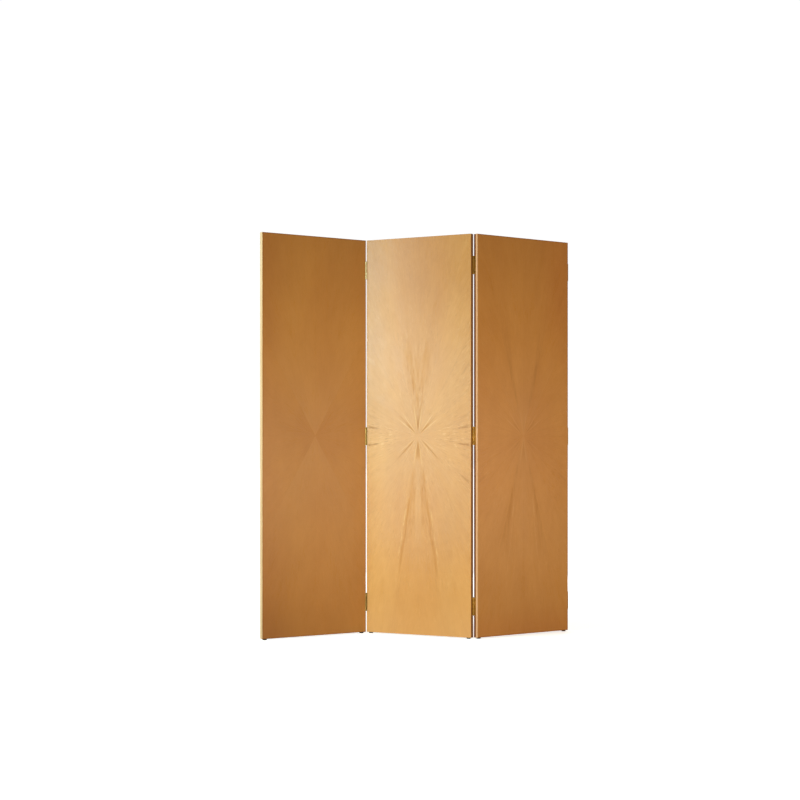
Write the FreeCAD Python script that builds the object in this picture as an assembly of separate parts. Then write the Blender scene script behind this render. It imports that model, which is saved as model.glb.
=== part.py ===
import FreeCAD, Part
import math
import os

# Three-panel folding screen: rigid boards veneered in a sunburst, joined by
# vertical rows of brass butt hinges and standing on small round glides.
# Millimetres. +Z up, +X to the right along the screen, +Y from the front to
# the back. Origin: middle of the footprint's bounding box, on the floor.

# ---------------------------------------------------------------- dimensions
PANEL_W = 500.0            # width of one board
PANEL_H = 1695.0           # height of one board
PANEL_T = 22.0             # thickness over both veneers
VENEER_T = 0.6             # face veneer
LIPPING_W = 8.0            # solid wood strip on each edge
ARRIS = 0.5                # eased corner between face and edge
LEAF_COUNT = 24            # wedge-shaped veneer leaves in one sunburst

GLIDE_D = 18.0             # floor glide
GLIDE_H = 5.0
GLIDE_INSET = 16.0         # glide centre to the board's end
GLIDE_ROUND = 1.2
GLIDE_RECESS_R = 3.6       # counterbore for the glide's screw
GLIDE_RECESS_D = 3.0
GLIDE_SCREW_R = 1.5
GLIDE_SCREW_HEAD_R = 3.2
GLIDE_SCREW_HEAD_H = 1.8
GLIDE_SCREW_LEN = 18.0

HINGE_H = 76.0             # 3 inch butt hinge
HINGE_INSET = 130.0        # hinge centre to the board's top or bottom end
HINGE_LEAF_W = 14.0        # how far the leaf reaches across the board's edge
HINGE_LEAF_T = 1.6
LEAF_LET_IN = 1.0          # depth of the mortise that the leaf lies in
HINGE_CORNER = 1.5
BARREL_R = 3.6
PIN_R = 2.0
PIN_HEAD_R = 3.1
PIN_HEAD_H = 1.2
PIN_OUT = 1.5              # pin axis beyond the board's edge
PIN_PROUD = 0.6            # pin axis proud of the board's face
KNUCKLES = 5
KNUCKLE_GAP = 0.4
RUNNING = 0.05             # radial clearance of a knuckle that turns on the pin
KNUCKLE_RELIEF = 0.4       # leaf cut back from the other leaf's knuckles
NOTCH_CLEAR = 0.35         # room round the barrel where it is let into the corner
NOTCH_END = 0.8            # and beyond the pin heads

PLATE_T = 2.0              # plain plate on the free edge, at each hinge height
PLATE_Y = (0.5, 20.5)      # reach across the edge from the front face

SCREW_R = 1.6              # countersunk slotted hinge screw
SCREW_HEAD_R = 3.2
SCREW_HEAD_H = 1.6
SCREW_LEN = 22.0
SCREW_HOLE_R = 1.75
SCREW_SLOT_W = 0.7
SCREW_SLOT_D = 0.7
SCREW_ROWS = ((-28.5, 10.2), (-9.5, 7.8), (9.5, 10.2), (28.5, 7.8))

LEFT_HEADING = 33.30       # turn of each board about the vertical as it stands
CENTER_HEADING = -26.53
RIGHT_HEADING = 36.06

# ------------------------------------------------------------------ helpers
V = FreeCAD.Vector
UP = V(0, 0, 1)
Z0 = GLIDE_H               # underside of the boards
CORE_T = PANEL_T - 2 * VENEER_T
HINGE_Z = {
    "top": Z0 + PANEL_H - HINGE_INSET,
    "middle": Z0 + PANEL_H / 2,
    "bottom": Z0 + HINGE_INSET,
}


def box(x0, x1, y0, y1, z0, z1):
    return Part.makeBox(x1 - x0, y1 - y0, z1 - z0, V(x0, y0, z0))


def revolve_z(points):
    """Closed (radius, height) outline turned about the vertical."""
    pts = [V(r, 0, z) for r, z in points]
    face = Part.Face(Part.makePolygon(pts + [pts[0]]))
    return face.revolve(V(0, 0, 0), UP, 360)


def lay_along(shape, origin, direction):
    """A +Z built shape laid along another direction."""
    s = shape.copy()
    turn = FreeCAD.Rotation(UP, direction)
    s.Placement = FreeCAD.Placement(origin, turn)
    return s


# ------------------------------------------------------------------- screws
def make_hinge_screw():
    """Countersunk slotted wood screw, head flush at z = 0, point upwards."""
    tip = 4.0
    body = revolve_z([
        (0, 0), (SCREW_HEAD_R, 0), (SCREW_R, SCREW_HEAD_H),
        (SCREW_R, SCREW_LEN - tip), (0.25, SCREW_LEN), (0, SCREW_LEN)])
    slot = box(-SCREW_HEAD_R - 1, SCREW_HEAD_R + 1, -SCREW_SLOT_W / 2,
               SCREW_SLOT_W / 2, -1, SCREW_SLOT_D)
    return body.cut(slot)


def make_glide_screw():
    """Cheese-head screw that holds a glide, head underside at z = 0 going up."""
    tip = 3.0
    h = GLIDE_SCREW_HEAD_H
    body = revolve_z([
        (0, -h), (GLIDE_SCREW_HEAD_R - 0.4, -h), (GLIDE_SCREW_HEAD_R, -h + 0.4),
        (GLIDE_SCREW_HEAD_R, 0), (GLIDE_SCREW_R, 0),
        (GLIDE_SCREW_R, GLIDE_SCREW_LEN - tip), (0.25, GLIDE_SCREW_LEN),
        (0, GLIDE_SCREW_LEN)])
    slot = box(-GLIDE_SCREW_HEAD_R - 1, GLIDE_SCREW_HEAD_R + 1, -0.4, 0.4,
               -h - 1, -h + 0.8)
    return body.cut(slot)


HINGE_SCREW = make_hinge_screw()
GLIDE_SCREW = make_glide_screw()


# ----------------------------------------------- hinges in a board's own frame
# A board's own frame: x from its left edge to its right edge, y from its front
# face to its back face, z up from the floor.
def edge_place(edge, pin_side):
    """Edge plane, the way out of it, and the pin-side face with its way in."""
    x = PANEL_W if edge == "right" else 0.0
    out = 1.0 if edge == "right" else -1.0
    y = 0.0 if pin_side == "front" else PANEL_T
    inward = 1.0 if pin_side == "front" else -1.0
    return x, out, y, inward


def pin_axis(edge, pin_side):
    x, out, y, inward = edge_place(edge, pin_side)
    return x + out * PIN_OUT, y - inward * PIN_PROUD


def span(a, b):
    return (a, b) if a < b else (b, a)


def knuckle_spans(zc):
    length = (HINGE_H - (KNUCKLES - 1) * KNUCKLE_GAP) / KNUCKLES
    z = zc - HINGE_H / 2
    spans = []
    for _ in range(KNUCKLES):
        spans.append((z, z + length))
        z += length + KNUCKLE_GAP
    return spans


def make_leaf(edge, pin_side, zc, odd, bore_r):
    """One hinge leaf: flat plate let into the board's edge, with its own knuckles."""
    x, out, y, inward = edge_place(edge, pin_side)
    px, py = pin_axis(edge, pin_side)
    face_x = x + out * (HINGE_LEAF_T - LEAF_LET_IN)
    x0, x1 = span(x - out * LEAF_LET_IN, face_x)
    y0, y1 = span(py, y + inward * HINGE_LEAF_W)
    plate = box(x0, x1, y0, y1, zc - HINGE_H / 2, zc + HINGE_H / 2)
    far_y = y + inward * HINGE_LEAF_W
    corners = [e for e in plate.Edges
               if abs(e.CenterOfMass.y - far_y) < 1e-6
               and abs(abs(e.CenterOfMass.z - zc) - HINGE_H / 2) < 1e-6]
    plate = plate.makeFillet(HINGE_CORNER, corners)
    relief_y = py + inward * (BARREL_R + KNUCKLE_RELIEF)
    rings = []
    for i, (z0, z1) in enumerate(knuckle_spans(zc)):
        if (i % 2 == 0) == odd:
            rings.append(Part.makeCylinder(BARREL_R, z1 - z0, V(px, py, z0), UP))
        else:
            r0, r1 = span(py - inward * 1.0, relief_y)
            plate = plate.cut(box(x0 - 1, x1 + 1, r0, r1,
                                  z0 - KNUCKLE_GAP, z1 + KNUCKLE_GAP))
    leaf = plate.fuse(rings).removeSplitter()
    leaf = leaf.cut(Part.makeCylinder(bore_r, HINGE_H + 2,
                                      V(px, py, zc - HINGE_H / 2 - 1), UP))
    into = V(-out, 0, 0)
    tools = []
    for dz, dy in SCREW_ROWS:
        at = V(face_x, y + inward * dy, zc + dz)
        sink = Part.makeCone(SCREW_HEAD_R, SCREW_R, SCREW_HEAD_H, at, into)
        hole = Part.makeCylinder(SCREW_HOLE_R, HINGE_LEAF_T + 1, at, into)
        tools += [sink, hole]
    leaf = leaf.cut(tools)
    return leaf.Solids[0] if len(leaf.Solids) == 1 else leaf


def make_plate(zc):
    """Plain plate on the right edge, screwed on like a hinge leaf."""
    plate = box(PANEL_W, PANEL_W + PLATE_T, PLATE_Y[0], PLATE_Y[1],
                zc - HINGE_H / 2, zc + HINGE_H / 2)
    corners = [e for e in plate.Edges if abs(e.CenterOfMass.x - PANEL_W - PLATE_T / 2) < 1e-6]
    plate = plate.makeFillet(HINGE_CORNER, corners)
    tools = []
    for at, into in plate_screw_places(zc):
        tools.append(Part.makeCone(SCREW_HEAD_R, SCREW_R, SCREW_HEAD_H, at, into))
        tools.append(Part.makeCylinder(SCREW_HOLE_R, PLATE_T + 1, at, into))
    return plate.cut(tools).Solids[0]


def plate_screw_places(zc):
    mid = (PLATE_Y[0] + PLATE_Y[1]) / 2
    for n, (dz, _) in enumerate(SCREW_ROWS):
        dy = 3.2 if n % 2 == 0 else -3.2
        yield V(PANEL_W + PLATE_T, mid + dy, zc + dz), V(-1, 0, 0)


def barrel_notches(edge, pin_side):
    """Room for the three barrels of one row where they sit in the board's corner."""
    px, py = pin_axis(edge, pin_side)
    reach = HINGE_H / 2 + PIN_HEAD_H + NOTCH_END
    return [Part.makeCylinder(BARREL_R + NOTCH_CLEAR, 2 * reach,
                              V(px, py, zc - reach), UP) for zc in HINGE_Z.values()]


def leaf_mortises(edge, pin_side):
    """Shallow seats in the board's edge for the three leaves of one row."""
    x, out, y, inward = edge_place(edge, pin_side)
    x0, x1 = span(x - out * LEAF_LET_IN, x + out)
    y0, y1 = span(y, y + inward * HINGE_LEAF_W)
    return [box(x0, x1, y0, y1, zc - HINGE_H / 2, zc + HINGE_H / 2)
            for zc in HINGE_Z.values()]


def make_pin(edge, pin_side, zc):
    """Hinge pin with a small rounded head at each end of the barrel."""
    px, py = pin_axis(edge, pin_side)
    h = HINGE_H / 2
    r, hr, hh = PIN_R, PIN_HEAD_R, PIN_HEAD_H
    pin = revolve_z([
        (0, -h - hh), (hr - 0.7, -h - hh), (hr, -h - hh + 0.5), (hr, -h),
        (r, -h), (r, h), (hr, h), (hr, h + hh - 0.5), (hr - 0.7, h + hh),
        (0, h + hh)])
    pin.translate(V(px, py, zc))
    return pin


def hinge_screw_places(edge, pin_side):
    """Screw places (point, way in) for one row of three leaves."""
    x, out, y, inward = edge_place(edge, pin_side)
    face_x = x + out * (HINGE_LEAF_T - LEAF_LET_IN)
    for zc in HINGE_Z.values():
        for dz, dy in SCREW_ROWS:
            yield V(face_x, y + inward * dy, zc + dz), V(-out, 0, 0)


# ------------------------------------------------------------------- boards
def wedge_outline(a0, a1):
    """Outline of one veneer leaf between two rays from the board's middle."""
    cx, cz = PANEL_W / 2, PANEL_H / 2

    def hit(a):
        dx, dz = math.sin(a), math.cos(a)
        tx = cx / abs(dx) if abs(dx) > 1e-9 else 1e9
        tz = cz / abs(dz) if abs(dz) > 1e-9 else 1e9
        t = min(tx, tz)
        return cx + dx * t, cz + dz * t

    corner = math.atan2(cx, cz)
    turns = [corner, math.pi - corner, math.pi + corner, 2 * math.pi - corner]
    pts = [(cx, cz), hit(a0)]
    for c in turns:
        if a0 + 1e-9 < c < a1 - 1e-9:
            pts.append(hit(c))
    pts.append(hit(a1))
    return pts


def make_veneer(side, notches):
    """Sunburst of thin leaves on one face, its outer arris eased."""
    slab = box(0, PANEL_W, 0, VENEER_T, Z0, Z0 + PANEL_H)
    rim = [e for e in slab.Edges if abs(e.CenterOfMass.y) < 1e-6]
    slab = slab.makeChamfer(ARRIS, rim)
    leaves = []
    step = 2 * math.pi / LEAF_COUNT
    for i in range(LEAF_COUNT):
        pts = [V(x, 0, Z0 + z) for x, z in wedge_outline(i * step, (i + 1) * step)]
        face = Part.Face(Part.makePolygon(pts + [pts[0]]))
        leaf = face.extrude(V(0, VENEER_T, 0)).common(slab)
        leaf = leaf.Solids[0]
        if side == "back":
            leaf.rotate(V(PANEL_W / 2, PANEL_T / 2, 0), UP, 180)
        near = [n for n in notches if n.common(leaf).Volume > 1e-6]
        if near:
            leaf = leaf.cut(near).Solids[0]
        leaves.append(leaf)
    return Part.Compound(leaves)


def make_board(hinged, plated=False):
    """Core, four lippings, two veneers, glides and their screws of one board."""
    y0, y1 = VENEER_T, PANEL_T - VENEER_T
    top = Z0 + PANEL_H
    pilots = []
    notches = {("left", "front"): [], ("left", "back"): [],
               ("right", "front"): [], ("right", "back"): []}
    mortises = {"left": [], "right": []}
    for edge, pin_side in hinged:
        mortises[edge] += leaf_mortises(edge, pin_side)
        for at, into in hinge_screw_places(edge, pin_side):
            pilots.append(lay_along(HINGE_SCREW_PILOT, at, into))
        notches[edge, pin_side] = barrel_notches(edge, pin_side)
    if plated:
        for zc in HINGE_Z.values():
            for at, into in plate_screw_places(zc):
                pilots.append(lay_along(HINGE_SCREW_PILOT, at, into))
    glide_at = [V(GLIDE_INSET, PANEL_T / 2, 0),
                V(PANEL_W - GLIDE_INSET, PANEL_T / 2, 0)]
    glide_pilots = []
    for p in glide_at:
        s = GLIDE_SCREW_PILOT.copy()
        s.translate(V(p.x, p.y, GLIDE_RECESS_D))
        glide_pilots.append(s)
    core = box(LIPPING_W, PANEL_W - LIPPING_W, y0, y1,
               Z0 + LIPPING_W, top - LIPPING_W).cut(pilots + glide_pilots)
    left = box(0, LIPPING_W, y0, y1, Z0, top)
    right = box(PANEL_W - LIPPING_W, PANEL_W, y0, y1, Z0, top)
    edges = {e for e, _ in hinged} | ({"right"} if plated else set())
    if "left" in edges:
        left = left.cut(pilots + notches["left", "front"] + notches["left", "back"] + mortises["left"])
    if "right" in edges:
        right = right.cut(pilots + notches["right", "front"] + notches["right", "back"] + mortises["right"])
    upper = box(LIPPING_W, PANEL_W - LIPPING_W, y0, y1, top - LIPPING_W, top)
    lower = box(LIPPING_W, PANEL_W - LIPPING_W, y0, y1,
                Z0, Z0 + LIPPING_W).cut(glide_pilots)
    glides, screws = [], []
    for p in glide_at:
        r = GLIDE_D / 2
        g = revolve_z([
            (GLIDE_RECESS_R, 0), (r - GLIDE_ROUND, 0), (r - 0.35, 0.35),
            (r, GLIDE_ROUND), (r, GLIDE_H), (GLIDE_SCREW_R, GLIDE_H),
            (GLIDE_SCREW_R, GLIDE_RECESS_D), (GLIDE_RECESS_R, GLIDE_RECESS_D)])
        g.translate(V(p.x, p.y, 0))
        glides.append(g)
        s = GLIDE_SCREW.copy()
        s.translate(V(p.x, p.y, GLIDE_RECESS_D))
        screws.append(s)
    return {
        "core_board": core,
        "lipping_left": left,
        "lipping_right": right,
        "lipping_top": upper,
        "lipping_bottom": lower,
        "veneer_front": make_veneer("front", notches["left", "front"] + notches["right", "front"]),
        "veneer_back": make_veneer("back", notches["left", "back"] + notches["right", "back"]),
        "glides": Part.Compound(glides),
        "glide_screws": Part.Compound(screws),
    }


def make_pilot(outline_r, length, tip):
    return revolve_z([(0, 0), (outline_r, 0), (outline_r, length - tip),
                      (0.25, length), (0, length)])


HINGE_SCREW_PILOT = make_pilot(SCREW_R, SCREW_LEN, 4.0)
GLIDE_SCREW_PILOT = make_pilot(GLIDE_SCREW_R, GLIDE_SCREW_LEN, 3.0)

# ------------------------------------------------------------------ assembly
# Pin lines: the left fold turns on the front side, the right fold on the back.
# The right board's free edge has a plain plate at each hinge height.
nodes = {"left": {}, "center": {}, "right": {}}

for name, hinged in (
        ("left", [("right", "front")]),
        ("center", [("left", "front"), ("right", "back")]),
        ("right", [("left", "back")])):
    for piece, shape in make_board(hinged, name == "right").items():
        nodes[name][name + "_" + piece] = shape


def screw_row(edge, pin_side):
    return Part.Compound([lay_along(HINGE_SCREW, at, into)
                          for at, into in hinge_screw_places(edge, pin_side)])


for where, zc in HINGE_Z.items():
    # left fold: the centre board carries the pin
    nodes["center"]["left_hinge_%s_pin_leaf" % where] = make_leaf(
        "left", "front", zc, True, PIN_R)
    nodes["center"]["left_hinge_%s_pin" % where] = make_pin("left", "front", zc)
    nodes["left"]["left_hinge_%s_swing_leaf" % where] = make_leaf(
        "right", "front", zc, False, PIN_R + RUNNING)
    # right fold: the centre board carries the pin here too
    nodes["center"]["right_hinge_%s_pin_leaf" % where] = make_leaf(
        "right", "back", zc, True, PIN_R)
    nodes["center"]["right_hinge_%s_pin" % where] = make_pin("right", "back", zc)
    nodes["right"]["right_hinge_%s_swing_leaf" % where] = make_leaf(
        "left", "back", zc, False, PIN_R + RUNNING)
    # free edge: plain plate
    nodes["right"]["free_edge_%s_plate" % where] = make_plate(zc)

nodes["left"]["left_hinge_swing_screws"] = screw_row("right", "front")
nodes["center"]["left_hinge_pin_leaf_screws"] = screw_row("left", "front")
nodes["center"]["right_hinge_pin_leaf_screws"] = screw_row("right", "back")
nodes["right"]["right_hinge_swing_screws"] = screw_row("left", "back")
nodes["right"]["free_edge_plate_screws"] = Part.Compound([
    lay_along(HINGE_SCREW, at, into)
    for zc in HINGE_Z.values() for at, into in plate_screw_places(zc)])


def turned(p, deg):
    a = math.radians(deg)
    return (p[0] * math.cos(a) - p[1] * math.sin(a),
            p[0] * math.sin(a) + p[1] * math.cos(a))


# Stand the boards up: the centre board first, the others about its pin lines.
pin_a = turned(pin_axis("left", "front"), CENTER_HEADING)
pin_b = turned(pin_axis("right", "back"), CENTER_HEADING)
a_in_left = turned(pin_axis("right", "front"), LEFT_HEADING)
b_in_right = turned(pin_axis("left", "back"), RIGHT_HEADING)
base = {
    "center": (CENTER_HEADING, (0.0, 0.0)),
    "left": (LEFT_HEADING, (pin_a[0] - a_in_left[0], pin_a[1] - a_in_left[1])),
    "right": (RIGHT_HEADING, (pin_b[0] - b_in_right[0], pin_b[1] - b_in_right[1])),
}


def footprint():
    """Extremes of the eased board corners and of the plates on the free edge."""
    xs, ys = [], []
    for heading, off in base.values():
        for x, y in ((0, ARRIS), (ARRIS, 0), (PANEL_W - ARRIS, 0),
                     (PANEL_W, ARRIS), (PANEL_W, PANEL_T - ARRIS),
                     (PANEL_W - ARRIS, PANEL_T), (ARRIS, PANEL_T),
                     (0, PANEL_T - ARRIS)):
            p = turned((x, y), heading)
            xs.append(p[0] + off[0])
            ys.append(p[1] + off[1])
    heading, off = base["right"]
    for y in PLATE_Y:
        p = turned((PANEL_W + PLATE_T, y), heading)
        xs.append(p[0] + off[0])
        ys.append(p[1] + off[1])
    return (min(xs) + max(xs)) / 2, (min(ys) + max(ys)) / 2


mid_x, mid_y = footprint()
os.makedirs("parts", exist_ok=True)
count = 0
for body, group in nodes.items():
    heading, off = base[body]
    for name, shape in group.items():
        s = shape.copy()
        s.rotate(V(0, 0, 0), UP, heading)
        s.translate(V(off[0] - mid_x, off[1] - mid_y, 0))
        if not s.isValid():
            print("not valid:", name)
        s.exportStep("parts/%s.step" % name)
        count += 1

print("nodes", count)
for label, p in (("left fold pin", pin_a), ("right fold pin", pin_b)):
    print(label, round(p[0] - mid_x, 4), round(p[1] - mid_y, 4))
for body, (heading, off) in base.items():
    print("board", body, heading, round(off[0] - mid_x, 4), round(off[1] - mid_y, 4))
print("knuckle spans", [(round(a, 3), round(b, 3))
                        for a, b in knuckle_spans(HINGE_Z["top"])])
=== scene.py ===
import math
import random

import bpy
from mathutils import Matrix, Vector


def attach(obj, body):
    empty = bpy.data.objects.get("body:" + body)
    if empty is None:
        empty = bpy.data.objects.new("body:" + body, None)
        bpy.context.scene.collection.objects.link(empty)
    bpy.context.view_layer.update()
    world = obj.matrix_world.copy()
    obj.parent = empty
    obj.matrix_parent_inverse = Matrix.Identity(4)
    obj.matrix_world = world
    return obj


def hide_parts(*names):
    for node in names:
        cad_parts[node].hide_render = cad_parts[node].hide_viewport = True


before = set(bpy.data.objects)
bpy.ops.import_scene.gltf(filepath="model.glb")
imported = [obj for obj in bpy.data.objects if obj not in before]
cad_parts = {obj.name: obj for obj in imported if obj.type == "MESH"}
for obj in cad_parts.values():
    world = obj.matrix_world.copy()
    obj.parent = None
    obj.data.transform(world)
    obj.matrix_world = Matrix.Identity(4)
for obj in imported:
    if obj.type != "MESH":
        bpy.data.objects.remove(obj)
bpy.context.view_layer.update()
scene = bpy.context.scene

# ---------------------------------------------------------------- dimensions
W, H, T = 0.500, 1.695, 0.022
VENEER = 0.0006
ARRIS = 0.00086            # rounding that stays inside the eased corner
Z0 = 0.005
LEAVES = 24
STEP = 2 * math.pi / LEAVES
# heading and left front lower corner of each board, in the shared frame
BOARDS = {
    "left": (33.30, (-0.6440593, -0.1829352)),
    "center": (-26.53, (-0.2229624, 0.0917650)),
    "right": (36.06, (0.2503403, -0.1294048)),
}
# room for the hinge barrels in the rim of a face: side of the face it is on
NOTCHED = {("left", False): 1, ("center", False): -1, ("center", True): -1, ("right", True): 1}
NOTCH_Z = (-0.7175, 0.0, 0.7175)
NOTCH_HALF = 0.0400
NOTCH_R, PIN_OUT, PIN_PROUD = 0.00395, 0.0015, 0.0006


def face_place(board, back=False):
    """Turn about the vertical and middle point of one face of a board."""
    heading, (ox, oy) = BOARDS[board]
    a = math.radians(heading)
    c, s = math.cos(a), math.sin(a)
    lx, ly = W / 2, (T if back else 0.0)
    mid = (ox + c * lx - s * ly, oy + s * lx + c * ly, Z0 + H / 2)
    return a + (math.pi if back else 0.0), mid


# ------------------------------------------------------------ node utilities
class Graph:
    """Small helper that wires shader nodes."""

    def __init__(self, name):
        self.mat = bpy.data.materials.new(name)
        self.mat.use_nodes = True
        self.nt = self.mat.node_tree
        self.nt.nodes.clear()
        self.out = self.nt.nodes.new("ShaderNodeOutputMaterial")
        self.bsdf = self.nt.nodes.new("ShaderNodeBsdfPrincipled")
        self.nt.links.new(self.bsdf.outputs[0], self.out.inputs["Surface"])

    def node(self, kind, **settings):
        n = self.nt.nodes.new(kind)
        for k, v in settings.items():
            setattr(n, k, v)
        return n

    def put(self, socket, value):
        if hasattr(value, "is_output"):
            self.nt.links.new(value, socket)
        else:
            socket.default_value = value

    def math(self, op, a, b=None, c=None, clamp=False):
        n = self.node("ShaderNodeMath", operation=op, use_clamp=clamp)
        self.put(n.inputs[0], a)
        if b is not None:
            self.put(n.inputs[1], b)
        if c is not None:
            self.put(n.inputs[2], c)
        return n.outputs[0]

    def mul(self, *values):
        out = values[0]
        for v in values[1:]:
            out = self.math("MULTIPLY", out, v)
        return out

    def add(self, *values):
        out = values[0]
        for v in values[1:]:
            out = self.math("ADD", out, v)
        return out

    def coord(self):
        return self.node("ShaderNodeTexCoord").outputs["Object"]

    def split(self, v):
        n = self.node("ShaderNodeSeparateXYZ")
        self.put(n.inputs[0], v)
        return n.outputs

    def vec(self, x, y, z):
        n = self.node("ShaderNodeCombineXYZ")
        for s, v in zip(n.inputs, (x, y, z)):
            self.put(s, v)
        return n.outputs[0]

    def turn(self, v, rot=(0, 0, 0), scale=(1, 1, 1), loc=(0, 0, 0)):
        n = self.node("ShaderNodeMapping", vector_type="POINT")
        self.put(n.inputs["Vector"], v)
        n.inputs["Rotation"].default_value = rot
        n.inputs["Scale"].default_value = scale
        n.inputs["Location"].default_value = loc
        return n.outputs[0]

    def to_face(self, angle, mid):
        """Object coordinates as seen from a face: x across, y into the board, z up."""
        c, s = math.cos(-angle), math.sin(-angle)
        x, y, z = mid
        return self.turn(self.coord(), rot=(0, 0, -angle), loc=(-(c * x - s * y), -(s * x + c * y), -z))

    def attribute(self, name):
        return self.split(self.node("ShaderNodeAttribute", attribute_name=name).outputs["Vector"])

    def noise(self, v, scale=1.0, detail=2.0, rough=0.5, distort=0.0):
        n = self.node("ShaderNodeTexNoise", noise_dimensions="3D")
        self.put(n.inputs["Vector"], v)
        n.inputs["Scale"].default_value = scale
        n.inputs["Detail"].default_value = detail
        n.inputs["Roughness"].default_value = rough
        n.inputs["Distortion"].default_value = distort
        return n.outputs["Fac"]

    def span(self, v, a, b, c=0.0, d=1.0, smooth=True):
        n = self.node("ShaderNodeMapRange",
                      interpolation_type="SMOOTHSTEP" if smooth else "LINEAR")
        self.put(n.inputs["Value"], v)
        for s, x in zip(("From Min", "From Max", "To Min", "To Max"), (a, b, c, d)):
            self.put(n.inputs[s], x)
        return n.outputs["Result"]

    def mix(self, fac, a, b, blend="MIX"):
        n = self.node("ShaderNodeMix", data_type="RGBA", blend_type=blend)
        n.clamp_factor = True
        self.put(n.inputs["Factor"], fac)
        self.put(n.inputs[6], a)
        self.put(n.inputs[7], b)
        return n.outputs[2]

    def tone(self, colour, level):
        """Lighten or deepen a wood colour; a deeper tone is also a warmer one."""
        n = self.node("ShaderNodeMix", data_type="RGBA", blend_type="MULTIPLY")
        n.inputs["Factor"].default_value = 1.0
        self.put(n.inputs[6], colour)
        self.put(n.inputs[7], self.vec(level, self.math("POWER", level, 1.45),
                                       self.math("POWER", level, 1.9)))
        return n.outputs[2]

    def ramp(self, fac, stops):
        n = self.node("ShaderNodeValToRGB")
        e = n.color_ramp.elements
        while len(e) < len(stops):
            e.new(0.5)
        for el, (p, c) in zip(e, stops):
            el.position = p
            el.color = (*c, 1)
        self.put(n.inputs[0], fac)
        return n.outputs[0]

    def bump(self, height, strength, distance, normal=None):
        n = self.node("ShaderNodeBump")
        n.inputs["Strength"].default_value = strength
        n.inputs["Distance"].default_value = distance
        self.put(n.inputs["Height"], height)
        if normal is not None:
            self.put(n.inputs["Normal"], normal)
        return n.outputs[0]


# ------------------------------------------------------------------ materials
OAK_DARK = (0.30, 0.092, 0.004, 1)
OAK_PORE = (0.25, 0.085, 0.012, 1)
OAK_PALE = (0.78, 0.43, 0.150, 1)


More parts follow.
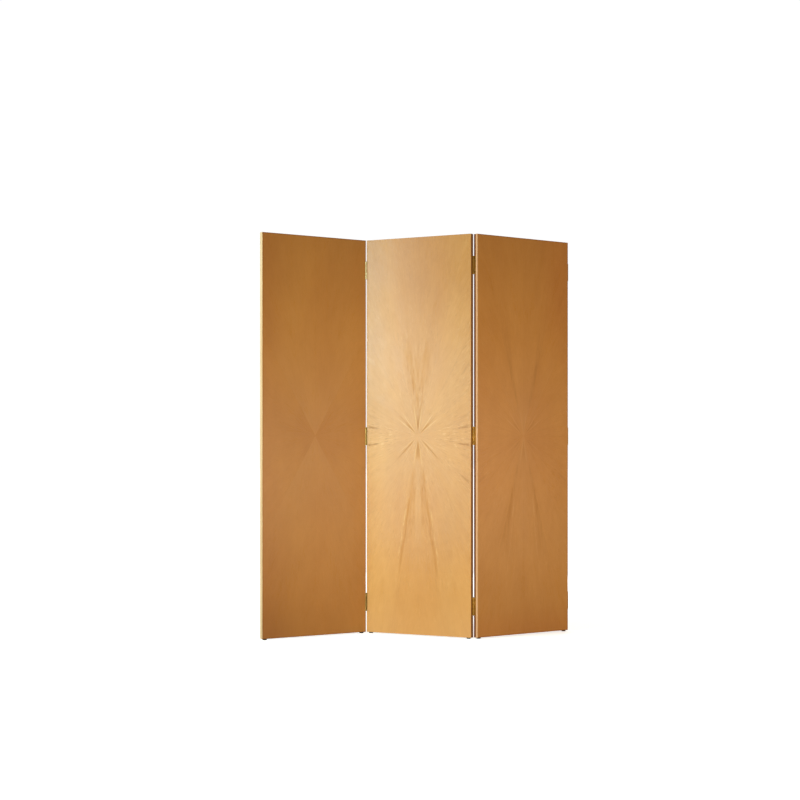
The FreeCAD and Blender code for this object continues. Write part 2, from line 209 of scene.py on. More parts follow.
def veneer_material(name, board, back, seed, rim, figure, ends, foot_fade, casts, lip):
    """Sunburst of book-matched leaves: the grain of each leaf runs along its middle.

    figure sets how strongly the grain shows, ends the tone at the top and
    bottom, foot_fade how far the lower end is made paler, casts the slow changes
    of colour across the sheet, partly wood colour and partly painted sheen and
    painted shade, lip the side of the sheet with a painted highlight along its edge."""
    g = Graph(name)
    x, y, z = g.split(g.to_face(*face_place(board, back)))
    theta = g.math("ARCTAN2", x, z)
    r = g.math("SQRT", g.add(g.mul(x, x), g.mul(z, z)))
    n = g.math("DIVIDE", theta, STEP)
    k = g.math("FLOOR", n)
    f = g.math("SUBTRACT", n, k)
    flip = g.math("SUBTRACT", 1.0, g.mul(g.math("FLOORED_MODULO", k, 2.0), 2.0))
    half = g.math("SUBTRACT", f, 0.5)
    phi = g.mul(half, STEP)
    t = g.mul(r, g.math("SINE", phi), flip)
    s = g.mul(r, g.math("COSINE", phi))
    u = g.add(0.5, g.mul(flip, half))
    to_out = g.mul(g.math("SUBTRACT", 1.0, u), STEP)
    to_in = g.mul(u, STEP)
    # leaves come off the log in turn, so neighbours differ only a little
    order = g.math("SUBTRACT", g.math("ABSOLUTE", g.add(k, 0.5)), 0.5)
    kk = g.add(order, seed * 7.31, g.mul(g.math("LESS_THAN", k, -0.5), 0.35))

    tone, heart, streak = g.attribute("leaf")
    flame, grey, long_ray = g.attribute("marks")
    star_out, star_in, band = g.attribute("star")
    wing = g.attribute("more")[0]

    wander = g.noise(g.vec(g.mul(t, 9.0), g.mul(s, 2.1), g.mul(kk, 0.10)), 1.0, 2.0, 0.5)
    sway = g.math("SUBTRACT", wander, 0.5)
    tw = g.add(t, g.mul(sway, 0.030))

    def grain(across, along, drift, detail=2.0, rough=0.5):
        return g.noise(g.vec(g.mul(tw, across), g.mul(s, along), g.mul(kk, drift)), 1.0, detail, rough)

    broad = grain(22.0, 5.0, 0.14)
    medium = grain(95.0, 24.0, 0.22, 3.0, 0.6)
    fine = grain(520.0, 24.0, 0.9, 2.0, 0.6)
    hair = grain(1900.0, 95.0, 2.3, 1.0, 0.5)
    dash = grain(190.0, 42.0, 1.1, 2.0, 0.6)
    plume = grain(210.0, 10.0, 0.7, 4.0, 0.65)
    patch = g.noise(g.vec(g.mul(x, 13.0), g.mul(z, 8.0), seed * 1.7), 1.0, 2.0, 0.5)

    body = g.add(g.mul(broad, 0.45), g.mul(medium, 0.55))
    colour = g.ramp(g.span(body, 0.28, 0.72, 0.5 - 0.34 * figure, 0.5 + 0.34 * figure), [
        (0.0, (0.555, 0.214, 0.034)),
        (0.5, (0.608, 0.251, 0.051)),
        (1.0, (0.655, 0.286, 0.067))])
    # fibres, growth lines, short flecks that gather in places, and pores
    colour = g.mix(g.span(fine, 0.36, 0.74, 0.0, 0.10 + 0.10 * figure), colour, (0.47, 0.178, 0.028, 1))
    rings = g.add(g.mul(tw, 74.0), g.mul(grain(16.0, 1.4, 0.05), 5.0))
    late = g.mul(g.math("POWER", g.math("FRACT", rings), 4.0), g.span(medium, 0.38, 0.66))
    colour = g.mix(g.mul(late, g.add(0.03, g.mul(streak, 0.10))), colour, OAK_DARK)
    colour = g.mix(g.mul(g.span(dash, 0.28, 0.42, 0.24 * figure, 0.0), g.span(patch, 0.44, 0.62)),
                   colour, OAK_DARK)
    colour = g.mix(g.mul(g.span(dash, 0.58, 0.72, 0.0, 0.24 * figure), g.span(patch, 0.40, 0.58)),
                   colour, OAK_PALE)
    pores = g.span(hair, 0.60, 0.74)
    colour = g.mix(g.mul(pores, 0.18), colour, OAK_PORE)

    # plumes of darker streaks above and below the middle of the stronger boards
    up = g.math("MAXIMUM", band, 0.0)
    down = g.math("MAXIMUM", g.mul(band, -1.0), 0.0)
    feathered = g.mul(g.span(plume, 0.40, 0.60, 1.0, 0.10), g.span(dash, 0.28, 0.56, 1.0, 0.45))
    rise = g.mul(g.span(to_in, 0.150, 0.240, 1.0, 0.0), g.span(r, 0.02, 0.07),
                 g.span(r, 0.24, 0.50, 1.0, 0.0), feathered, up)
    fall = g.mul(g.span(to_in, 0.020, 0.070), g.span(to_in, 0.140, 0.215, 1.0, 0.0), g.span(r, 0.11, 0.17),
                 g.span(r, 0.26, 0.56, 1.0, 0.0), feathered, down)
    off = g.add(t, g.mul(sway, 0.055), g.mul(up, 0.012), g.mul(down, -0.012))
    wide = g.add(0.0030, g.mul(r, 0.018))
    vee = g.mul(g.span(g.math("DIVIDE", g.math("ABSOLUTE", off), wide), 0.10, 1.0, 1.0, 0.0),
                g.span(plume, 0.42, 0.58, 1.0, 0.0), g.span(r, 0.12, 0.22))
    vee = g.add(g.mul(vee, g.span(r, 0.22, 0.55, 1.0, 0.10), up, 0.7),
                g.mul(vee, g.span(r, 0.58, 0.80, 1.0, 0.30), down))
    foot = g.mul(g.span(to_in, 0.10, 0.17, 1.0, 0.0), g.span(r, 0.015, 0.04),
                 g.span(r, 0.07, 0.12, 1.0, 0.0), down)
    plumes = g.math("MAXIMUM", g.math("MAXIMUM", rise, fall), g.math("MAXIMUM", vee, g.mul(foot, 0.7)))
    bend = g.span(r, 0.30, 0.66, 0.0, 0.085)
    wings = g.mul(g.span(g.math("ABSOLUTE", g.math("SUBTRACT", to_out, bend)), 0.022, 0.085, 1.0, 0.0),
                  g.span(r, 0.09, 0.17), g.span(r, 0.30, 0.58, 1.0, 0.0),
                  g.span(plume, 0.42, 0.62, 1.0, 0.22), wing)
    colour = g.mix(g.mul(plumes, 0.23), colour, OAK_DARK)
    colour = g.mix(g.mul(wings, 0.34), colour, OAK_DARK)
    plumes = g.math("MAXIMUM", plumes, wings)
    beside = g.math("ABSOLUTE", g.math("SUBTRACT", off, g.add(0.005, g.mul(r, 0.014))))
    gleam = g.mul(g.span(beside, 0.0008, 0.0046, 1.0, 0.0), g.span(r, 0.20, 0.34), g.span(r, 0.60, 0.70, 1.0, 0.0),
                  g.span(medium, 0.40, 0.62, 0.0, 0.40), down)
    colour = g.mix(gleam, colour, OAK_PALE)
    calm = g.mul(g.span(to_in, 0.040, 0.090, 1.0, 0.0), g.span(r, 0.11, 0.19),
                 g.span(r, 0.34, 0.62, 1.0, 0.0), down)
    colour = g.mix(g.mul(calm, 0.14), colour, (0.66, 0.33, 0.120, 1))

    # glue seams between leaves
    near = g.mul(g.math("MINIMUM", f, g.math("SUBTRACT", 1.0, f)), r, STEP)
    seam = g.mul(g.span(near, 0.00010, 0.0006, 1.0, 0.0), g.span(r, 0.012, 0.040))
    colour = g.mix(g.mul(seam, 0.08 + 0.16 * figure), colour, OAK_PORE)

    # the star at the middle: short dark wedges and thin rays along some seams, pale lines beside them
    rough_edge = g.mul(g.math("SUBTRACT", dash, 0.5), 0.08)
    wedge_out = g.mul(g.span(g.add(to_out, rough_edge), 0.02, 0.095, 1.0, 0.0),
                      g.span(r, 0.010, 0.030), g.span(r, 0.050, 0.090, 1.0, 0.0), star_out)
    wedge_in = g.mul(g.span(g.add(to_in, rough_edge), 0.03, 0.115, 1.0, 0.0),
                     g.span(r, 0.012, 0.030), g.span(r, 0.050, 0.105, 1.0, 0.0), star_in)
    thin = g.mul(g.span(g.mul(to_out, r), 0.0008, 0.0034, 1.0, 0.0),
                 g.span(r, 0.020, 0.050), g.span(r, 0.090, 0.175, 1.0, 0.0), long_ray)
    dark = g.math("MAXIMUM", g.math("MAXIMUM", wedge_out, wedge_in), thin)
    colour = g.mix(g.mul(dark, 0.30), colour, OAK_DARK)
    pale = g.add(g.mul(g.span(g.math("ABSOLUTE", g.math("SUBTRACT", to_in, 0.155)), 0.008, 0.040, 1.0, 0.0), star_in),
                 g.mul(g.span(g.math("ABSOLUTE", g.math("SUBTRACT", to_out, 0.130)), 0.008, 0.036, 1.0, 0.0), star_out))
    pale = g.mul(pale, g.span(r, 0.010, 0.030), g.span(r, 0.070, 0.140, 1.0, 0.0))
    colour = g.mix(g.mul(pale, 0.60), colour, OAK_PALE)

    # a fan of short marks beside the middle, and flames that widen towards the long edges
    ax = g.math("ABSOLUTE", x)
    fan = g.mul(flame, g.span(ax, 0.07, 0.13))
    colour = g.mix(g.mul(fan, g.span(dash, 0.30, 0.43, 0.34, 0.0)), colour, OAK_DARK)
    colour = g.mix(g.mul(fan, g.span(dash, 0.56, 0.68, 0.0, 0.34)), colour, OAK_PALE)
    width = g.span(ax, 0.165, 0.240, 0.0012, 0.0078)
    away = g.math("ABSOLUTE", g.add(t, -0.007, g.mul(sway, 0.012)))
    flames = g.mul(g.span(g.math("DIVIDE", away, width), 0.20, 1.05, 1.0, 0.0),
                   g.span(ax, 0.160, 0.228), g.span(ax, 0.236, 0.243, 1.0, 0.1),
                   g.span(dash, 0.30, 0.60, 1.0, 0.50), flame)
    colour = g.mix(g.mul(flames, 0.66), colour, (0.25, 0.072, 0.003, 1))

    # tone of the leaf, deeper near the middle in some (painted sheen of the grain), and a little deeper towards both
    # ends
    level = g.math("SUBTRACT", tone, g.mul(heart, g.span(r, 0.04, 0.21, 1.0, 0.0)))
    az = g.math("ABSOLUTE", z)
    level = g.mul(level, g.span(z, 0.25, 0.86, 1.0, ends[0]), g.span(z, -0.86, -0.25, ends[1], 1.0))
    edge = g.math("MINIMUM", g.math("SUBTRACT", W / 2, ax), g.math("SUBTRACT", H / 2, az))
    level = g.mul(level, g.span(edge, 0.0010, 0.0060, 1.0 + rim, 1.0))
    cloud = g.noise(g.vec(g.mul(x, 4.0), g.mul(z, 2.2), seed * 3.1), 1.0, 2.0, 0.5)
    mottle = g.noise(g.vec(g.mul(x, 26.0), g.mul(z, 9.0), seed * 5.3), 1.0, 3.0, 0.6)
    level = g.mul(level, g.span(cloud, 0.30, 0.70, 0.965, 1.035), g.span(mottle, 0.30, 0.70, 0.982, 1.018))
    colour = g.tone(colour, level)
    # greyer, paler leaves: painted sheen of the grain
    colour = g.mix(g.mul(grey, g.span(r, 0.06, 0.45, 1.0, 0.25)), colour, (0.60, 0.30, 0.105, 1))
    colour = g.mix(g.span(z, -0.86, -0.45, foot_fade, 0.0), colour, (0.66, 0.31, 0.110, 1))
    # slow colour casts, partly wood colour and partly painted sheen and painted shade
    for across, upright, tint in casts:
        where = g.mul(g.span(x, *across), g.span(z, *upright))
        colour = g.mix(where, colour, (*tint, 1), "MULTIPLY")
    if lip:
        # a paler strip along one long edge of the sheet: a painted highlight where the lamp falls on that edge
        lit_edge = g.mul(g.span(g.mul(x, lip), W / 2 - 0.0046, W / 2 - 0.0026), g.span(medium, 0.30, 0.50, 0.75, 1.0))
        colour = g.mix(g.mul(lit_edge, 0.85), colour, (0.86, 0.52, 0.270, 1))

    g.put(g.bsdf.inputs["Base Color"], colour)
    # the dark marks are open grain and take less polish
    open_grain = g.math("MAXIMUM", g.math("MAXIMUM", plumes, dark), g.math("MAXIMUM", flames, g.mul(pores, 0.5)))
    g.put(g.bsdf.inputs["Roughness"],
          g.add(g.span(g.add(g.mul(fine, 0.6), g.mul(broad, 0.4)), 0.30, 0.70, 0.26, 0.35), g.mul(open_grain, 0.20)))
    g.bsdf.inputs["Specular IOR Level"].default_value = 0.28
    height = g.math("SUBTRACT", g.mul(fine, 0.5), g.add(pores, g.mul(seam, 0.8)))
    g.put(g.bsdf.inputs["Normal"], g.bump(height, 0.20, 0.00012))
    return g.mat


def lipping_material(name, board, upright, seed, tint, shade):
    """Long-grain strip of the same wood, paler; the grain runs along the strip.

    shade is the tint of the painted shadow on the part of the strip next to the pins."""
    g = Graph(name)
    heading, (ox, oy) = BOARDS[board]
    turn = math.radians(heading)
    v = g.turn(g.coord(), rot=(0, 0, -turn))
    x, y, z = g.split(v)
    along, across, depth = (z, x, y) if upright else (x, z, y)
    wander = g.noise(g.vec(g.mul(across, 30.0), g.mul(depth, 30.0),
                           g.add(g.mul(along, 1.6), seed)), 1.0, 2.0)
    sway = g.mul(g.math("SUBTRACT", wander, 0.5), 0.010)
    a, d = g.add(across, sway), g.add(depth, sway)

    def grain(ac, al, detail=2.0):
        return g.noise(g.vec(g.mul(a, ac), g.mul(d, ac),
                             g.add(g.mul(along, al), seed * 3.7)), 1.0, detail, 0.55)

    broad, medium, fine, hair = grain(60, 1.6), grain(260, 4.0, 3.0), grain(900, 14.0), grain(2300, 60.0, 1.0)
    body = g.add(g.mul(broad, 0.5), g.mul(medium, 0.5))
    colour = g.ramp(g.span(body, 0.28, 0.72), [
        (0.0, (0.600, 0.335, 0.165)), (0.5, (0.660, 0.395, 0.210)), (1.0, (0.720, 0.455, 0.255))])
    colour = g.mix(g.span(fine, 0.38, 0.75, 0.0, 0.28), colour, (0.48, 0.225, 0.082, 1))
    pores = g.span(hair, 0.60, 0.74)
    colour = g.mix(g.mul(pores, 0.26), colour, (0.25, 0.105, 0.036, 1))
    colour = g.tone(colour, g.span(broad, 0.25, 0.75, 0.97, 1.03))
    colour = g.mix(1.0, colour, (*tint, 1), "MULTIPLY")
    # handling has rubbed the arrises a little, more in some places than in others
    front = oy * math.cos(turn) - ox * math.sin(turn)
    off_arris = g.math("SUBTRACT", T / 2, g.math("ABSOLUTE", g.math("SUBTRACT", y, front + T / 2)))
    rubbed = g.mul(g.span(off_arris, 0.0007, 0.0030, 1.0, 0.0),
                   g.span(g.noise(g.vec(g.mul(across, 90.0), g.mul(depth, 90.0), g.mul(along, 14.0)), 1.0, 3.0, 0.6),
                          0.38, 0.64))
    colour = g.mix(g.mul(rubbed, 0.35), colour,
                   (0.80 * tint[0], 0.56 * tint[1], 0.34 * tint[2], 1))
    # painted shadow: the part of the strip nearer the pins is darkened
    if shade:
        colour = g.mix(g.span(g.math("SUBTRACT", y, front), 0.0066, 0.0100), colour, (*shade, 1), "MULTIPLY")
    g.put(g.bsdf.inputs["Base Color"], colour)
    g.put(g.bsdf.inputs["Roughness"],
          g.math("SUBTRACT", g.span(fine, 0.30, 0.70, 0.46, 0.58), g.mul(rubbed, 0.10)))
    g.bsdf.inputs["Specular IOR Level"].default_value = 0.5
    g.put(g.bsdf.inputs["Normal"],
          g.bump(g.math("SUBTRACT", g.mul(fine, 0.5), pores), 0.20, 0.00012))
    return g.mat


def brass_material(name, base, dull, rough, seed, shade_at=None):
    """Aged satin brass with faint brushing, dull spots and darker handling marks. Given a pin's place,
    the barrel's side that faces the right as the screen stands is painted darker: painted shade."""
    g = Graph(name)
    v = g.coord()
    cloud = g.noise(g.turn(v, scale=(1, 1, 0.6), loc=(seed, seed * 2.1, 0)), 70.0, 3.0, 0.5)
    fine = g.noise(g.turn(v, scale=(1, 1, 0.04), loc=(0, 0, seed)), 5200.0, 2.0, 0.6)
    spots = g.span(g.noise(v, 1500.0, 2.0, 0.6), 0.62, 0.76)
    colour = g.mix(g.span(cloud, 0.30, 0.70, 0.28, 0.72), base, dull)
    colour = g.mix(g.span(fine, 0.35, 0.70, 0.0, 0.16), colour, dull)
    colour = g.mix(g.mul(spots, 0.26), colour, (dull[0] * 0.45, dull[1] * 0.42, dull[2] * 0.4, 1))
    if shade_at:
        # painted shade on the side of the barrel that faces the right
        at = g.split(v)
        dx, dy = g.add(at[0], -shade_at[0]), g.add(at[1], -shade_at[1])
        barrel = g.span(g.math("SQRT", g.add(g.mul(dx, dx), g.mul(dy, dy))), 0.0039, 0.0046, 1.0, 0.0)
        facing = g.split(g.node("ShaderNodeTexCoord").outputs["Normal"])[0]
        facing = g.add(facing, g.mul(g.math("SUBTRACT", cloud, 0.5), 0.30))
        colour = g.mix(g.mul(g.span(facing, -0.40, 0.06, 0.0, 0.92), barrel), colour, (0.118, 0.054, 0.012, 1))
    g.put(g.bsdf.inputs["Base Color"], colour)
    g.bsdf.inputs["Metallic"].default_value = 1.0
    g.put(g.bsdf.inputs["Roughness"],
          g.add(g.span(cloud, 0.30, 0.70, rough - 0.04, rough + 0.05), g.mul(fine, 0.09)))
    g.put(g.bsdf.inputs["Normal"], g.bump(fine, 0.10, 0.00005))
    return g.mat


def glide_material(name):
    """Dark moulded nylon: fine texture and scuffs on a near-black olive."""
    g = Graph(name)
    v = g.coord()
    grain = g.noise(v, 3600.0, 2.0, 0.6)
    scuff = g.span(g.noise(g.turn(v, scale=(1, 1, 3)), 240.0, 4.0, 0.65), 0.52, 0.72)
    colour = g.mix(g.span(grain, 0.35, 0.70), (0.018, 0.017, 0.012, 1), (0.034, 0.032, 0.022, 1))
    colour = g.mix(g.mul(scuff, 0.45), colour, (0.085, 0.080, 0.062, 1))
    g.put(g.bsdf.inputs["Base Color"], colour)
    g.put(g.bsdf.inputs["Roughness"], g.span(scuff, 0.0, 1.0, 0.46, 0.62))
    g.put(g.bsdf.inputs["Normal"], g.bump(grain, 0.18, 0.00008))
    return g.mat


def steel_material(name):
    """Zinc plated screw steel."""
    g = Graph(name)
    v = g.coord()
    cloud = g.noise(v, 260.0, 4.0, 0.6)
    grit = g.noise(v, 4200.0, 2.0, 0.6)
    g.put(g.bsdf.inputs["Base Color"],
          g.mix(g.span(cloud, 0.32, 0.68), (0.62, 0.62, 0.60, 1), (0.44, 0.44, 0.41, 1)))
    g.bsdf.inputs["Metallic"].default_value = 1.0
    g.put(g.bsdf.inputs["Roughness"], g.span(cloud, 0.3, 0.7, 0.30, 0.46))
    g.put(g.bsdf.inputs["Normal"], g.bump(grit, 0.12, 0.00004))
    return g.mat


def core_material(name, heading, seed):
    """Blockboard: strips of pale softwood side by side under the face."""
    g = Graph(name)
    v = g.turn(g.coord(), rot=(0, 0, -math.radians(heading)))
    x, y, z = g.split(v)
    strip = g.math("FLOOR", g.mul(x, 40.0))
    grain = g.noise(g.vec(g.mul(x, 300.0), g.mul(y, 300.0),
                          g.add(g.mul(z, 5.0), g.mul(strip, 3.3))), 1.0, 3.0, 0.6)
    tint = g.noise(g.vec(strip, seed, 0.0), 1.7, 0.0)
    colour = g.ramp(grain, [(0.3, (0.50, 0.33, 0.16)), (0.7, (0.66, 0.48, 0.27))])
    colour = g.mix(g.mul(tint, 0.4), colour, (0.45, 0.28, 0.13, 1))
    g.put(g.bsdf.inputs["Base Color"], colour)
    g.put(g.bsdf.inputs["Roughness"], g.span(grain, 0.3, 0.7, 0.6, 0.75))
    g.put(g.bsdf.inputs["Normal"], g.bump(grain, 0.25, 0.0002))
    return g.mat


# ---------------------------------------------------------- sunburst sheets
def notch_reach(depth):
    """How far the barrel's room cuts into the rim at a depth below the face."""
    return math.sqrt(NOTCH_R ** 2 - (PIN_PROUD + depth) ** 2) - PIN_OUT


def rim_marks(side):
    """Points round the rim, clockwise from the top, as (angle, is_seam, place).

    place(inset, depth) gives the point for a rim drawn in by inset at a depth."""
    hx, hz = W / 2, H / 2

    def on_ray(a):
        def place(inset, depth):
            dx, dz = math.sin(a), math.cos(a)
            reach = hx - inset
            if side and dx * side > 0 and abs(dz / dx * hx) < NOTCH_HALF:
                reach = hx - notch_reach(depth)
            tx = reach / abs(dx) if abs(dx) > 1e-9 else 1e9
            tz = (hz - inset) / abs(dz) if abs(dz) > 1e-9 else 1e9
            t = min(tx, tz)
            return dx * t, dz * t
        return place

    def corner(sx, sz):
        return lambda inset, depth: (sx * (hx - inset), sz * (hz - inset))

    def notch_point(z, inner):
        if inner:
            return lambda inset, depth: (side * (hx - notch_reach(depth)), z)
        return lambda inset, depth: (side * (hx - inset), z)

    marks = [(i * STEP, True, on_ray(i * STEP)) for i in range(LEAVES)]
    for sx, sz in ((1, 1), (1, -1), (-1, -1), (-1, 1)):
        marks.append((math.atan2(sx * hx, sz * hz) % (2 * math.pi), False, corner(sx, sz)))
    if side:
        for zc in NOTCH_Z:
            for end in (1, -1):
                zz = zc + end * NOTCH_HALF
                a = math.atan2(side * hx, zz) % (2 * math.pi)
                # along the rim, clockwise, a notch starts at its upper end on the right-hand side
                first = end * side > 0
                marks.append((a + (-1e-7 if first else 1e-7), False, notch_point(zz, False)))
                marks.append((a + (1e-7 if first else -1e-7), False, notch_point(zz, True)))
    return sorted(marks, key=lambda m: m[0])


def make_sheet(name, board, back, values):
    """One face's veneer as a closed thin sheet with an eased, rounded rim."""
    hx, hz = W / 2, H / 2
    marks = rim_marks(NOTCHED.get((board, back), 0))
    m = len(marks)
    rings = []
    last = math.acos(1 - VENEER / ARRIS)
    for i in range(5):                       # rounded arris, face to edge
        a = last * i / 4
        rings.append((ARRIS * (1 - math.sin(a)), ARRIS * (1 - math.cos(a))))
    local = [(0.0, 0.0, 0.0)]
    for inset, depth in rings:
        for _, _, place in marks:
            px, pz = place(inset, depth)
            local.append((px, depth, pz))
    local.append((0.0, VENEER, 0.0))
    back_mid = len(local) - 1
    ring = lambda i, j: 1 + i * m + (j % m)
    faces, leaf_of = [], []
    starts = [j for j, mark in enumerate(marks) if mark[1]]
    for n, j in enumerate(starts):
        j2 = starts[n + 1] if n + 1 < len(starts) else starts[0] + m
        faces.append([0] + [ring(0, q) for q in range(j, j2 + 1)])
        faces.append([back_mid] + [ring(len(rings) - 1, q) for q in range(j, j2 + 1)][::-1])
        leaf_of += [n, n]
        for i in range(len(rings) - 1):
            for q in range(j, j2):
                faces.append([ring(i, q), ring(i + 1, q), ring(i + 1, q + 1), ring(i, q + 1)])
                leaf_of.append(n)
    angle, mid = face_place(board, back)
    c, s = math.cos(angle), math.sin(angle)
    verts = [(mid[0] + c * px - s * py, mid[1] + s * px + c * py, mid[2] + pz) for px, py, pz in local]
    mesh = bpy.data.meshes.new(name)
    mesh.from_pydata(verts, [], faces)
    mesh.update()
    for key in values:
        mesh.attributes.new(key, "FLOAT_VECTOR", "CORNER")
    mesh.uv_layers.new(name="OFBake")
    uv = mesh.uv_layers["OFBake"]
    layers = [(mesh.attributes[key], values[key]) for key in values]
    for poly, n in zip(mesh.polygons, leaf_of):
        hidden = all(local[v][1] > VENEER - 1e-9 for v in poly.vertices)
        for li in poly.loop_indices:
            for layer, per_leaf in layers:
                layer.data[li].vector = per_leaf[n]
            px, _, pz = local[mesh.loops[li].vertex_index]
            u = 0.004 + 0.992 * (px + hx) / W
            v = (pz + hz) / H
            uv.data[li].uv = (u, 0.966 + 0.03 * v) if hidden else (u, 0.004 + 0.954 * v)
    ob = bpy.data.objects.new(name, mesh)
    scene.collection.objects.link(ob)
    return ob


def leaf_table(board, back):
    """Per leaf, clockwise from the top: leaf = tone, depth of tone near the middle (painted sheen of the grain), line
    strength;
    marks = flame at the edge, greyness (painted sheen of the grain), thin ray; star = wedge at the outer and at the
    inner seam, plume (above the middle positive, below it negative); more = plume along the outer seam."""
    rng = random.Random("%s-%s" % (board, back))
    table = {"leaf": [], "marks": [], "star": [], "more": []}
    for n in range(LEAVES):
        a = (n + 0.5) * 360.0 / LEAVES
        from_vertical = min(a % 180.0, 180.0 - a % 180.0)
        lower = 90.0 < a < 270.0
        tone = 1.0 + rng.uniform(-0.012, 0.012) + (0.005 if n % 2 else -0.005)
        heart, streak = 0.0, 0.20 + rng.uniform(-0.06, 0.06)
        flame = grey = ray = outer = inner = band = wing = 0.0
        if board == "left":
            streak *= 0.4
            tone = 1.0 + (tone - 1.0) * 0.4
            # the side leaves deeper near the middle and the upright leaves greyer: painted sheen of the grain
            if from_vertical > 30:
                heart = 0.065
            else:
                grey = 0.16
        elif board == "center":
            if from_vertical < 15:
                streak, inner = 0.6, (0.6 if lower else 1.0)
                band = -1.0 if lower else 1.0
            elif 30 < from_vertical < 60:
                streak = 0.35
                outer, ray = (0.45, 1.0) if lower else (1.0, 0.35)
            elif from_vertical > 75:
                streak, flame = 0.30, 1.0
            elif from_vertical > 60:
                flame = 0.25
            if n == 8:
                flame = 0.7
            if n in (2, 3):
                flame = 0.35
        else:
            streak *= 0.5
            tone = 1.0 + (tone - 1.0) * 0.5
            # the upright leaves greyer and the side leaves deeper near the middle: painted sheen of the grain
            if from_vertical < 15:
                grey, streak = 0.18, 0.30
                inner = 0.45 if lower else 0.2
                band, wing = (-0.35, 1.0) if lower else (0.3, 0.9)
            elif from_vertical < 30:
                grey, wing = 0.08, 0.22
            else:
                heart = 0.03
                outer = (0.25 if lower else 0.5) if from_vertical < 60 else 0.0
            if n in (8, 15):
                flame = 0.22
            if a < 180.0:
                tone -= 0.012
        table["leaf"].append((tone, heart, streak))
        table["marks"].append((flame, grey, ray))
        table["star"].append((outer, inner, band))
        table["more"].append((wing, 0.0, 0.0))
    return table


RIM = {"left": -0.26, "center": 0.0, "right": -0.26}
FIGURE = {"left": 0.28, "center": 0.85, "right": 0.42}
ENDS = {"left": (0.94, 0.90), "center": (0.92, 1.09), "right": (0.93, 0.93)}
FOOT_FADE = {"left": 0.0, "center": 0.5, "right": 0.0}
# sheet that gets a painted highlight along one long edge, and on which side
LIT_EDGE_SIDE = {("right", False): -1}
# each cast: where it comes in across the sheet, where it comes in up the sheet, tint; the casts are partly wood colour
# and partly painted light: painted sheen where they turn paler and bluer, painted shade where they darken
EVERYWHERE = (-9.0, -8.0)
CASTS = {
    "left": [((-0.08, -0.25), EVERYWHERE, (0.92, 0.86, 0.86)),
             ((0.10, -0.25), (-0.62, -0.86), (0.86, 0.83, 0.82)),
             ((0.0, 0.16), EVERYWHERE, (1.0, 1.04, 1.12)),
             ((0.08, 0.22), (-0.60, -0.84), (1.08, 1.10, 1.12))],
    "center": [((-0.15, -0.07), (0.06, 0.24), (0.97, 0.93, 0.89)),
               ((0.09, 0.17), (0.06, 0.24), (1.03, 1.075, 1.12)),
               ((-0.16, -0.05), (0.22, -0.10), (1.0, 0.97, 0.92)),
               ((0.17, 0.05), (-0.08, -0.30), (1.0, 0.95, 0.87)),
               ((-0.10, -0.22), EVERYWHERE, (1.0, 1.03, 1.10)),
               ((-0.10, -0.22), (0.30, 0.52), (0.99, 1.01, 1.10)),
               # painted sheen along the left edge of the centre sheet
               ((-0.215, -0.245), (-0.15, 0.15), (1.04, 1.10, 1.26)),
               ((0.12, 0.22), (0.10, 0.40), (1.03, 1.07, 1.14)),
               ((-0.12, -0.20), (0.10, -0.10), (1.07, 1.08, 1.06)),
               ((0.12, 0.20), (-0.25, -0.55), (1.06, 1.07, 1.08)),
               (EVERYWHERE, (-0.68, -0.84), (1.06, 1.10, 1.26))],
    "right": [((0.05, 0.22), (0.20, 0.65), (1.0, 0.92, 0.88)),
              (EVERYWHERE, (-0.15, -0.50), (1.0, 1.05, 1.18)),
              ((-0.02, 0.20), (-0.35, -0.65), (1.07, 1.08, 1.08)),
              (EVERYWHERE, (-0.70, -0.84), (0.96, 0.89, 0.85))],
}
for b, board in enumerate(BOARDS):
    for back in (False, True):
        side = "back" if back else "front"
        sheet = make_sheet("%s_%s_sunburst" % (board, side), board, back, leaf_table(board, back))
        sheet.data.materials.append(
            veneer_material("veneer_%s_%s" % (board, side), board, back, 1 + b * 2 + back,
                            RIM[board], FIGURE[board], ENDS[board], FOOT_FADE[board], CASTS[board],
                            LIT_EDGE_SIDE.get((board, back), 0)))
        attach(sheet, board + "_panel")
        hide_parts("%s_veneer_%s" % (board, side))


# -------------------------------------------------------------- CAD finishes
def wear(node, material):
    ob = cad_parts[node]
    ob.data.materials.clear()
    ob.data.materials.append(material)


# in the right fold the centre board's strip is painted darker: painted shade; the right
# board's strip it closes on is paler and redder, with painted shadow next to the pins
LIPPING_TINT = {("center", "right"): (0.40, 0.29, 0.15), ("right", "left"): (1.24, 1.00, 0.92)}
LIPPING_SHADE = {("right", "left"): (0.58, 0.38, 0.20)}
brass = brass_material("hinge_brass", (0.74, 0.475, 0.140, 1), (0.50, 0.320, 0.090, 1), 0.42, 0.3)
# copy of the hinge brass with painted shade on the barrel's right side
shaded_brass = brass_material("hinge_brass_painted_shade", (0.74, 0.475, 0.140, 1), (0.50, 0.320, 0.090, 1), 0.42, 0.9,
                             shade_at=(-0.2245725, 0.0918982))
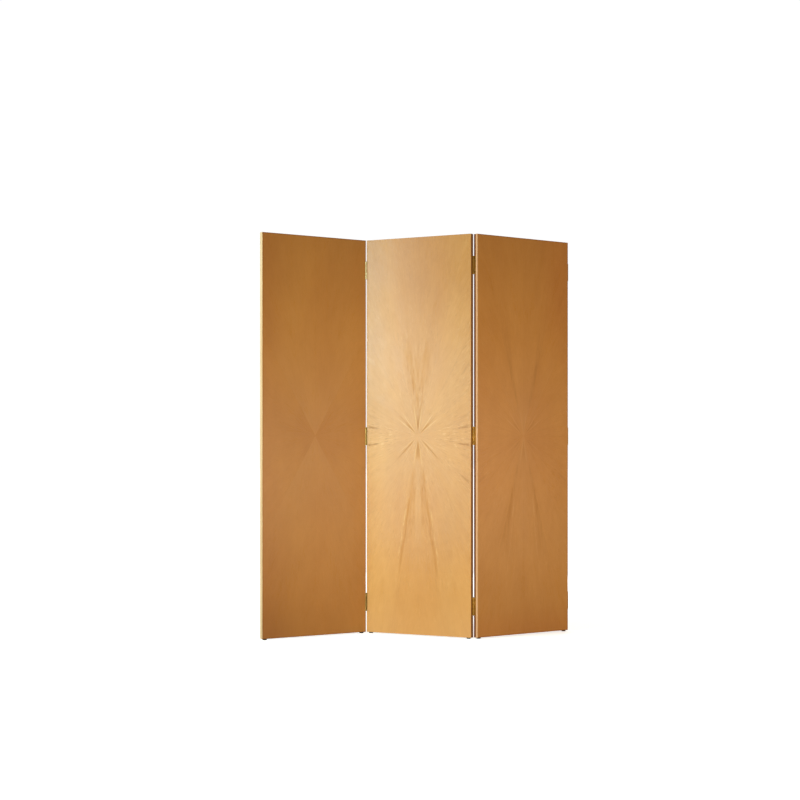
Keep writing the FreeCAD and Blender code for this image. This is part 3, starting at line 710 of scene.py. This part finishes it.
# paler, smoother copy of the hinge brass: painted highlight
highlight_brass = brass_material("hinge_brass_painted_highlight", (0.93, 0.77, 0.44, 1), (0.82, 0.64, 0.32, 1), 0.30, 1.3)
pin_brass = brass_material("pin_brass", (0.64, 0.390, 0.110, 1), (0.42, 0.245, 0.064, 1), 0.36, 1.7)
screw_brass = brass_material("screw_brass", (0.70, 0.430, 0.128, 1), (0.46, 0.270, 0.074, 1), 0.38, 2.9)
glide_nylon = glide_material("glide_nylon")
zinc = steel_material("glide_screw_zinc")
for b, (board, (heading, _)) in enumerate(BOARDS.items()):
    for e, edge in enumerate(("left", "right", "top", "bottom")):
        wear("%s_lipping_%s" % (board, edge),
             lipping_material("lipping_%s_%s" % (board, edge), board, e < 2, 1.3 + 1.7 * b + 5.3 * e,
                              LIPPING_TINT.get((board, edge), (1.0, 1.0, 1.0)),
                              LIPPING_SHADE.get((board, edge))))
    wear(board + "_core_board", core_material("blockboard_" + board, heading, b))
    wear(board + "_glides", glide_nylon)
    wear(board + "_glide_screws", zinc)
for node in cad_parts:
    if "_hinge_" in node or node.startswith("free_edge_"):
        if node.endswith("_pin"):
            wear(node, pin_brass)
        elif node.endswith("screws"):
            wear(node, screw_brass)
        else:
            # the top hinge of the left fold gets a paler, smoother brass: a painted highlight; the other hinges of the
            # left fold carry painted shade on the barrel
            wear(node, highlight_brass if node.startswith("left_hinge_top_") else
                 shaded_brass if node.startswith("left_hinge_") else brass)


# ------------------------------------------------------------ floor and light
def floor():
    """Pale studio floor that fades into the white surround further out."""
    mesh = bpy.data.meshes.new("floor")
    d = 60.0
    mesh.from_pydata([(-d, -d, 0), (d, -d, 0), (d, d, 0), (-d, d, 0)], [], [(0, 1, 2, 3)])
    ob = bpy.data.objects.new("floor", mesh)
    scene.collection.objects.link(ob)
    g = Graph("floor_pale")
    v = g.coord()
    x, y, z = g.split(v)
    r = g.math("SQRT", g.add(g.mul(x, x), g.mul(y, y)))
    tone = g.noise(v, 0.6, 2.0)
    seen = g.node("ShaderNodeLightPath").outputs["Is Camera Ray"]
    pale = g.mix(tone, (0.86, 0.85, 0.84, 1), (0.88, 0.87, 0.86, 1))
    g.put(g.bsdf.inputs["Base Color"], g.mix(seen, (0.30, 0.29, 0.28, 1), pale))
    g.bsdf.inputs["Roughness"].default_value = 0.9
    g.bsdf.inputs["Specular IOR Level"].default_value = 0.05
    g.bsdf.inputs["Emission Color"].default_value = (1, 1, 1, 1)
    g.put(g.bsdf.inputs["Emission Strength"], g.mul(g.span(r, 0.9, 4.5, 0.58, 1.02), seen))
    mesh.materials.append(g.mat)
    return ob


floor()


def softbox(name, at, towards, size, watts, colour):
    light = bpy.data.lights.new(name, "AREA")
    light.shape = "RECTANGLE"
    light.size, light.size_y = size
    light.energy = watts
    light.color = colour
    ob = bpy.data.objects.new(name, light)
    ob.location = at
    ob.rotation_euler = (Vector(towards) - Vector(at)).to_track_quat("-Z", "Y").to_euler()
    ob.visible_camera = False
    scene.collection.objects.link(ob)
    return ob


softbox("key", (-2.06, -1.44, 0.80), (0.0, 0.0, 0.64), (1.2, 1.2), 48.0, (0.74, 1.0, 0.95))
softbox("sheen", (-2.26, -1.30, 1.74), (-0.18, 0.07, 1.30), (0.22, 1.3), 32.0, (0.68, 0.95, 1.0))
softbox("front", (1.02, -1.85, 0.66), (0.1, 0.0, 0.68), (1.2, 0.8), 17.2, (1.0, 0.92, 0.76))
softbox("card", (2.6, -1.2, 0.65), (0.1, 0.0, 0.65), (1.6, 1.0), 10.0, (1.0, 0.96, 0.92))
softbox("back_fill", (0.6, 3.2, 1.3), (0.0, 0.0, 0.85), (2.5, 2.0), 55.0, (1.0, 0.97, 0.94))

world = bpy.data.worlds.new("studio")
scene.world = world
world.use_nodes = True
nt = world.node_tree
nt.nodes.clear()
path = nt.nodes.new("ShaderNodeLightPath")
seen = nt.nodes.new("ShaderNodeBackground")
seen.inputs["Color"].default_value = (1, 1, 1, 1)
seen.inputs["Strength"].default_value = 1.02
lit = nt.nodes.new("ShaderNodeBackground")
lit.inputs["Color"].default_value = (1, 0.93, 0.76, 1)
lit.inputs["Strength"].default_value = 0.28
mixer = nt.nodes.new("ShaderNodeMixShader")
out = nt.nodes.new("ShaderNodeOutputWorld")
nt.links.new(path.outputs["Is Camera Ray"], mixer.inputs[0])
nt.links.new(lit.outputs[0], mixer.inputs[1])
nt.links.new(seen.outputs[0], mixer.inputs[2])
nt.links.new(mixer.outputs[0], out.inputs["Surface"])
scene.view_settings.view_transform = "Standard"

# --------------------------------------------------------------------- camera
cam = bpy.data.cameras.new("camera")
cam.sensor_width = 36.0
cam.sensor_fit = "HORIZONTAL"
cam.lens = 1594.8 / 800 * 36.0
cam.shift_x = (400.0 - 440.0) / 800
cam.shift_y = (449.89 - 400.0) / 800
cam.clip_start, cam.clip_end = 0.05, 200.0
camera = bpy.data.objects.new("camera", cam)
camera.location = (0.09465, -6.81645, 0.7931)
camera.rotation_euler = (math.pi / 2, 0, 0)
scene.collection.objects.link(camera)
scene.camera = camera
